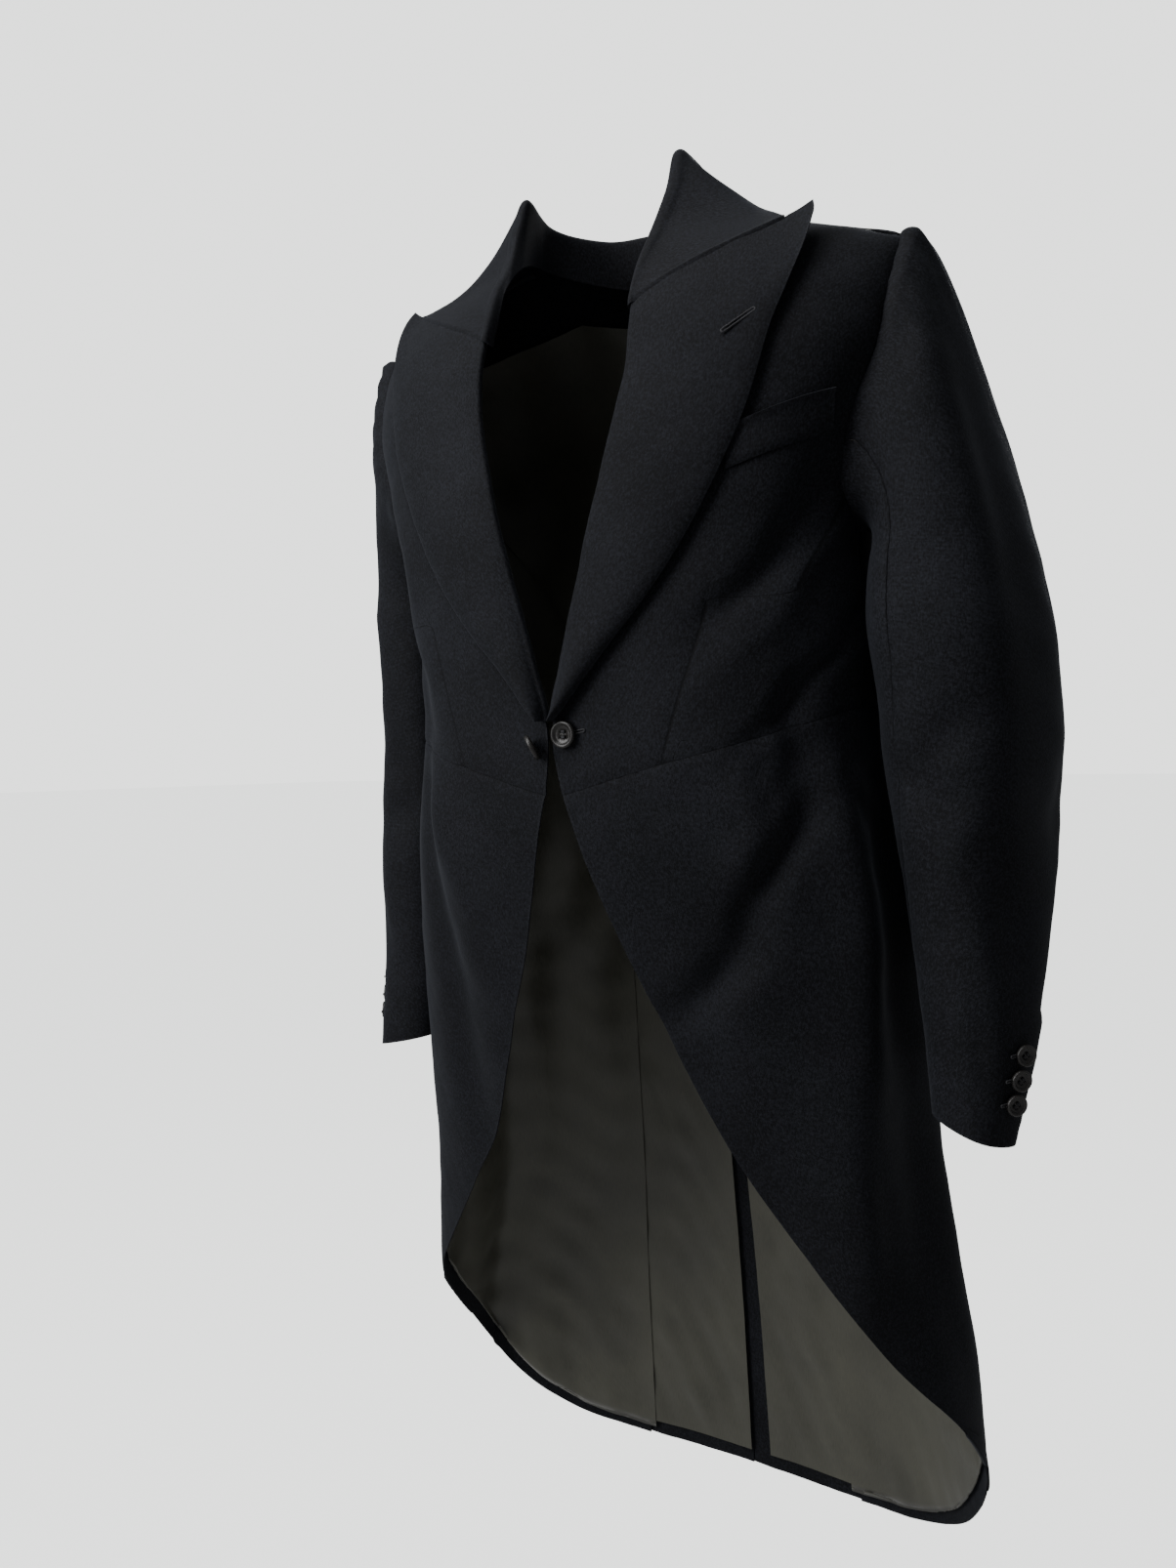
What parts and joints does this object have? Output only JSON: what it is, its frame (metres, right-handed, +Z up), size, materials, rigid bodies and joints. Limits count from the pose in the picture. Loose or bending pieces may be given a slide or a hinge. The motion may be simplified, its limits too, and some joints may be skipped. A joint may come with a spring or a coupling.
{
  "type": "morning coat",
  "caption": "Tailored cutaway coat with peaked lapels, link closing, long rounded tails and set-in sleeves, in its hollow worn form.",
  "frame": {"origin": "middle of the neck, at the height and depth where the shoulder seams meet the collar", "axes": "+X to the wearer's left, -Y to the front, +Z up"},
  "size_m": [0.61, 0.3341, 1.1239],
  "materials": {
    "wool": "matt, fine dark worsted",
    "lining": "soft sheen, dark olive sateen",
    "horn": "polished dark horn",
    "thread": "waxed black thread"
  },
  "bodies": {
    "root": {"forepart_left": "wool", "forepart_right": "wool", "side_body_left": "wool", "side_body_right": "wool", "back_left": "wool", "back_right": "wool", "skirt_left": "wool", "skirt_right": "wool", "top_sleeve_left": "wool", "top_sleeve_right": "wool", "under_sleeve_left": "wool", "under_sleeve_right": "wool", "collar": "wool", "lapel_left": "wool", "lapel_right": "wool", "breast_welt": "wool", "back_lining": "lining", "tail_lining_left": "lining", "tail_lining_right": "lining", "skirt_lining_left": "lining", "skirt_lining_right": "lining", "link_button_left": "horn", "link_button_right": "horn", "link_thread": "thread", "cuff_button_left_1": "horn", "cuff_button_left_2": "horn", "cuff_button_left_3": "horn", "cuff_button_right_1": "horn", "cuff_button_right_2": "horn", "cuff_button_right_3": "horn", "waist_button_left": "horn", "waist_button_right": "horn"}
  },
  "joints": []
}
